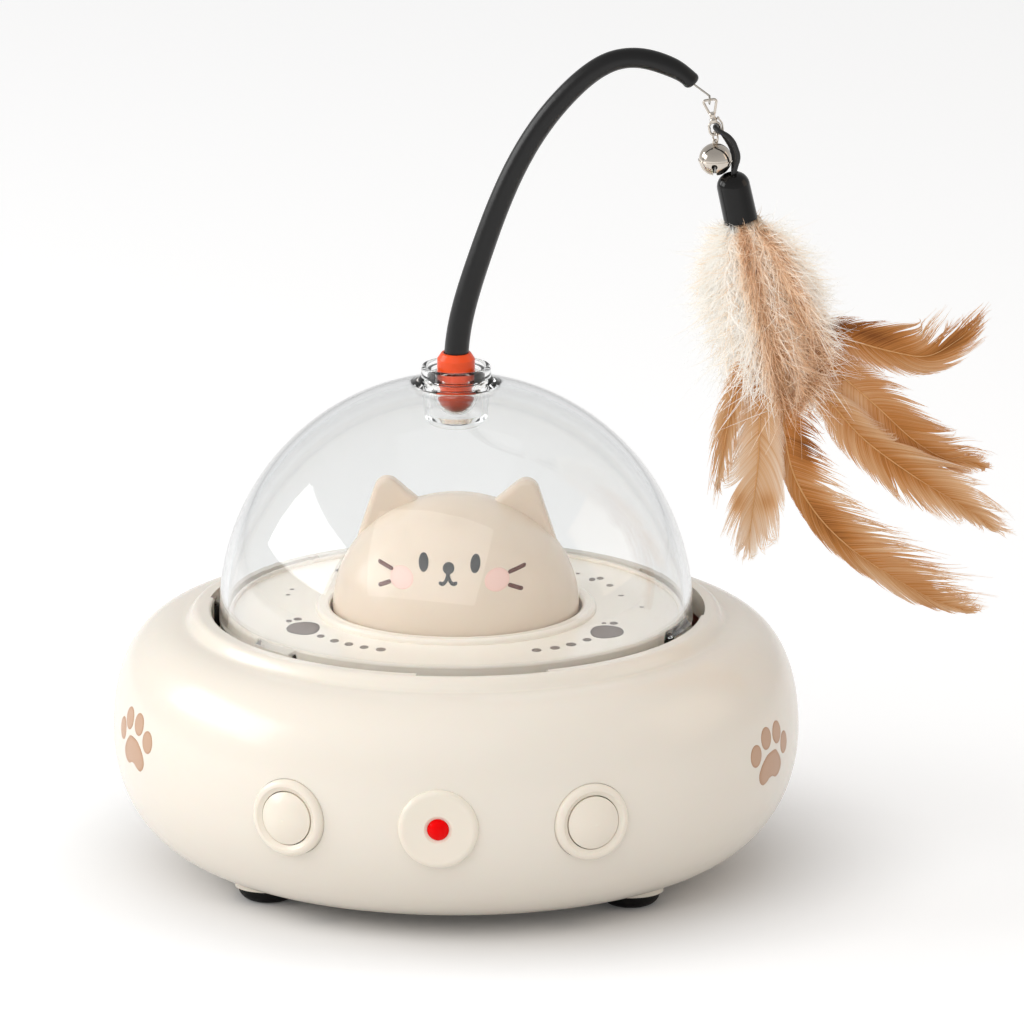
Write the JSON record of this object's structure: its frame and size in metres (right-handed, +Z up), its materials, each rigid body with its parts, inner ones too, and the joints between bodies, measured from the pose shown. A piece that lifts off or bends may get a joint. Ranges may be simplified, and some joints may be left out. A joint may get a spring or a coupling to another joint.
{
  "type": "automatic cat laser toy",
  "caption": "Round cream cat toy with a clear dome over a cat's head, a turntable that swings a curved wand with a bell and feather lure, push buttons and a red laser lens.",
  "frame": {"origin": "on the housing's vertical axis, in the plane of the rubber feet's soles", "axes": "+Z up, -Y towards the front with the buttons and the lens, +X towards the side that the wand leans to"},
  "size_m": [0.2193, 0.172, 0.2113],
  "materials": {
    "shell_abs": "moulded ABS, soft gloss",
    "head_abs": "moulded ABS, satin",
    "deck_abs": "moulded ABS, soft gloss",
    "clear_plastic": "clear moulded plastic, polished",
    "black_rubber": "moulded rubber",
    "wand_rubber": "matt extruded sleeve",
    "orange_plastic": "moulded, satin",
    "black_plastic": "moulded, soft gloss",
    "screw_steel": "zinc plated",
    "inner_plastic": "moulded ABS",
    "acetal": "natural acetal",
    "motor_steel": "drawn can",
    "nickel": "bright nickel plate",
    "cell_wrap": "shrink sleeve",
    "board": "solder mask",
    "switch_black": "moulded",
    "brass": "turned",
    "red_plastic": "tinted lens",
    "port_steel": "stamped",
    "feather_vane": "natural feather",
    "down": "natural down"
  },
  "bodies": {
    "base": {"base_shell": "shell_abs", "bottom_cover": "shell_abs", "rubber_feet": "black_rubber", "cover_screws": "screw_steel", "drive_plate": "inner_plastic", "plate_screws": "screw_steel", "thrust_washer": "screw_steel", "gear_motor": "motor_steel", "motor_screws": "screw_steel", "gear_axle": "screw_steel", "cat_head": "head_abs", "head_screws": "screw_steel", "roller_pins": "screw_steel", "left_bezel": "shell_abs", "right_bezel": "shell_abs", "tact_switches": "switch_black", "switch_boards": "board", "sensor_pad": "shell_abs", "red_lens": "red_plastic", "laser_module": "brass", "charge_port": "port_steel", "port_board": "board", "battery_cell": "cell_wrap", "battery_cradle": "inner_plastic", "main_board": "board"},
    "turntable": {"turntable": "deck_abs", "ring_gear": "acetal", "dome": "clear_plastic", "wand_socket": "clear_plastic", "socket_liner": "clear_plastic", "socket_ring": "black_rubber"},
    "reduction_gear": {"reduction_gear": "acetal"},
    "motor_pinion": {"motor_pinion": "acetal"},
    "guide_roller_left": {"guide_roller_left": "black_plastic"},
    "guide_roller_rear": {"guide_roller_rear": "black_plastic"},
    "guide_roller_right": {"guide_roller_right": "black_plastic"},
    "guide_roller_front": {"guide_roller_front": "black_plastic"},
    "left_button": {"left_button": "shell_abs"},
    "right_button": {"right_button": "shell_abs"},
    "wand": {"wand_plug": "orange_plastic", "wand_hose": "wand_rubber", "tip_wire": "screw_steel"},
    "clasp": {"clasp_body": "nickel", "clasp_gate": "nickel"},
    "bell": {"bell_ring": "nickel", "bell_upper": "nickel", "bell_lower": "nickel", "bell_pellet": "nickel"},
    "lure": {"cord_loop": "black_rubber", "feather_cap": "black_plastic", "down_tuft": "down", "feather_upper": "feather_vane", "feather_right": "feather_vane", "feather_outer": "feather_vane", "feather_long": "feather_vane", "feather_front": "feather_vane", "feather_left": "feather_vane"}
  },
  "joints": [
    {"name": "dome_spin", "type": "hinge", "parent": "base", "child": "turntable", "pos_m": [0, 0, 0.0664], "axis": [0, 0, 1], "continuous": true},
    {"name": "reduction_spin", "type": "hinge", "parent": "base", "child": "reduction_gear", "pos_m": [0, 0.045, 0.05], "axis": [0, 0, 1], "continuous": true},
    {"name": "motor_spin", "type": "hinge", "parent": "base", "child": "motor_pinion", "pos_m": [0.014, 0.04051, 0.048], "axis": [0, 0, 1], "continuous": true},
    {"name": "roller_left_spin", "type": "hinge", "parent": "base", "child": "guide_roller_left", "pos_m": [-0.05947, 0.01264, 0.06], "axis": [0, 0, 1], "continuous": true},
    {"name": "roller_rear_spin", "type": "hinge", "parent": "base", "child": "guide_roller_rear", "pos_m": [0.01264, 0.05947, 0.06], "axis": [0, 0, 1], "continuous": true},
    {"name": "roller_right_spin", "type": "hinge", "parent": "base", "child": "guide_roller_right", "pos_m": [0.05947, -0.01264, 0.06], "axis": [0, 0, 1], "continuous": true},
    {"name": "roller_front_spin", "type": "hinge", "parent": "base", "child": "guide_roller_front", "pos_m": [-0.01264, -0.05947, 0.06], "axis": [0, 0, 1], "continuous": true},
    {"name": "wand_pull", "type": "slide", "parent": "turntable", "child": "wand", "axis": [0, 0, 1], "range_m": [0, 0.02]},
    {"name": "clasp_swing", "type": "hinge", "parent": "wand", "child": "clasp", "pos_m": [0.063, 0, 0.1982], "axis": [0, 1, 0], "range_deg": [-40, 4]},
    {"name": "bell_swing", "type": "hinge", "parent": "clasp", "child": "bell", "pos_m": [0.06442, 0, 0.18926], "axis": [1, 0, 0], "range_deg": [-30, 3]},
    {"name": "lure_swing", "type": "hinge", "parent": "clasp", "child": "lure", "pos_m": [0.06444, 0, 0.19119], "axis": [1, 0, 0], "range_deg": [-4, 25]},
    {"name": "left_button_press", "type": "slide", "parent": "base", "child": "left_button", "axis": [0.4446, 0.8957, 0], "range_m": [0, 0.0008], "stiffness_N_per_m": 400},
    {"name": "right_button_press", "type": "slide", "parent": "base", "child": "right_button", "axis": [-0.4446, 0.8957, 0], "range_m": [0, 0.0008], "stiffness_N_per_m": 400}
  ],
  "couplings": [
    {"joint": "reduction_spin", "follows": "dome_spin", "ratio": -6.5},
    {"joint": "motor_spin", "follows": "dome_spin", "ratio": 16.25},
    {"joint": "roller_left_spin", "follows": "dome_spin", "ratio": -30.842},
    {"joint": "roller_rear_spin", "follows": "dome_spin", "ratio": -30.842},
    {"joint": "roller_right_spin", "follows": "dome_spin", "ratio": -30.842},
    {"joint": "roller_front_spin", "follows": "dome_spin", "ratio": -30.842}
  ]
}
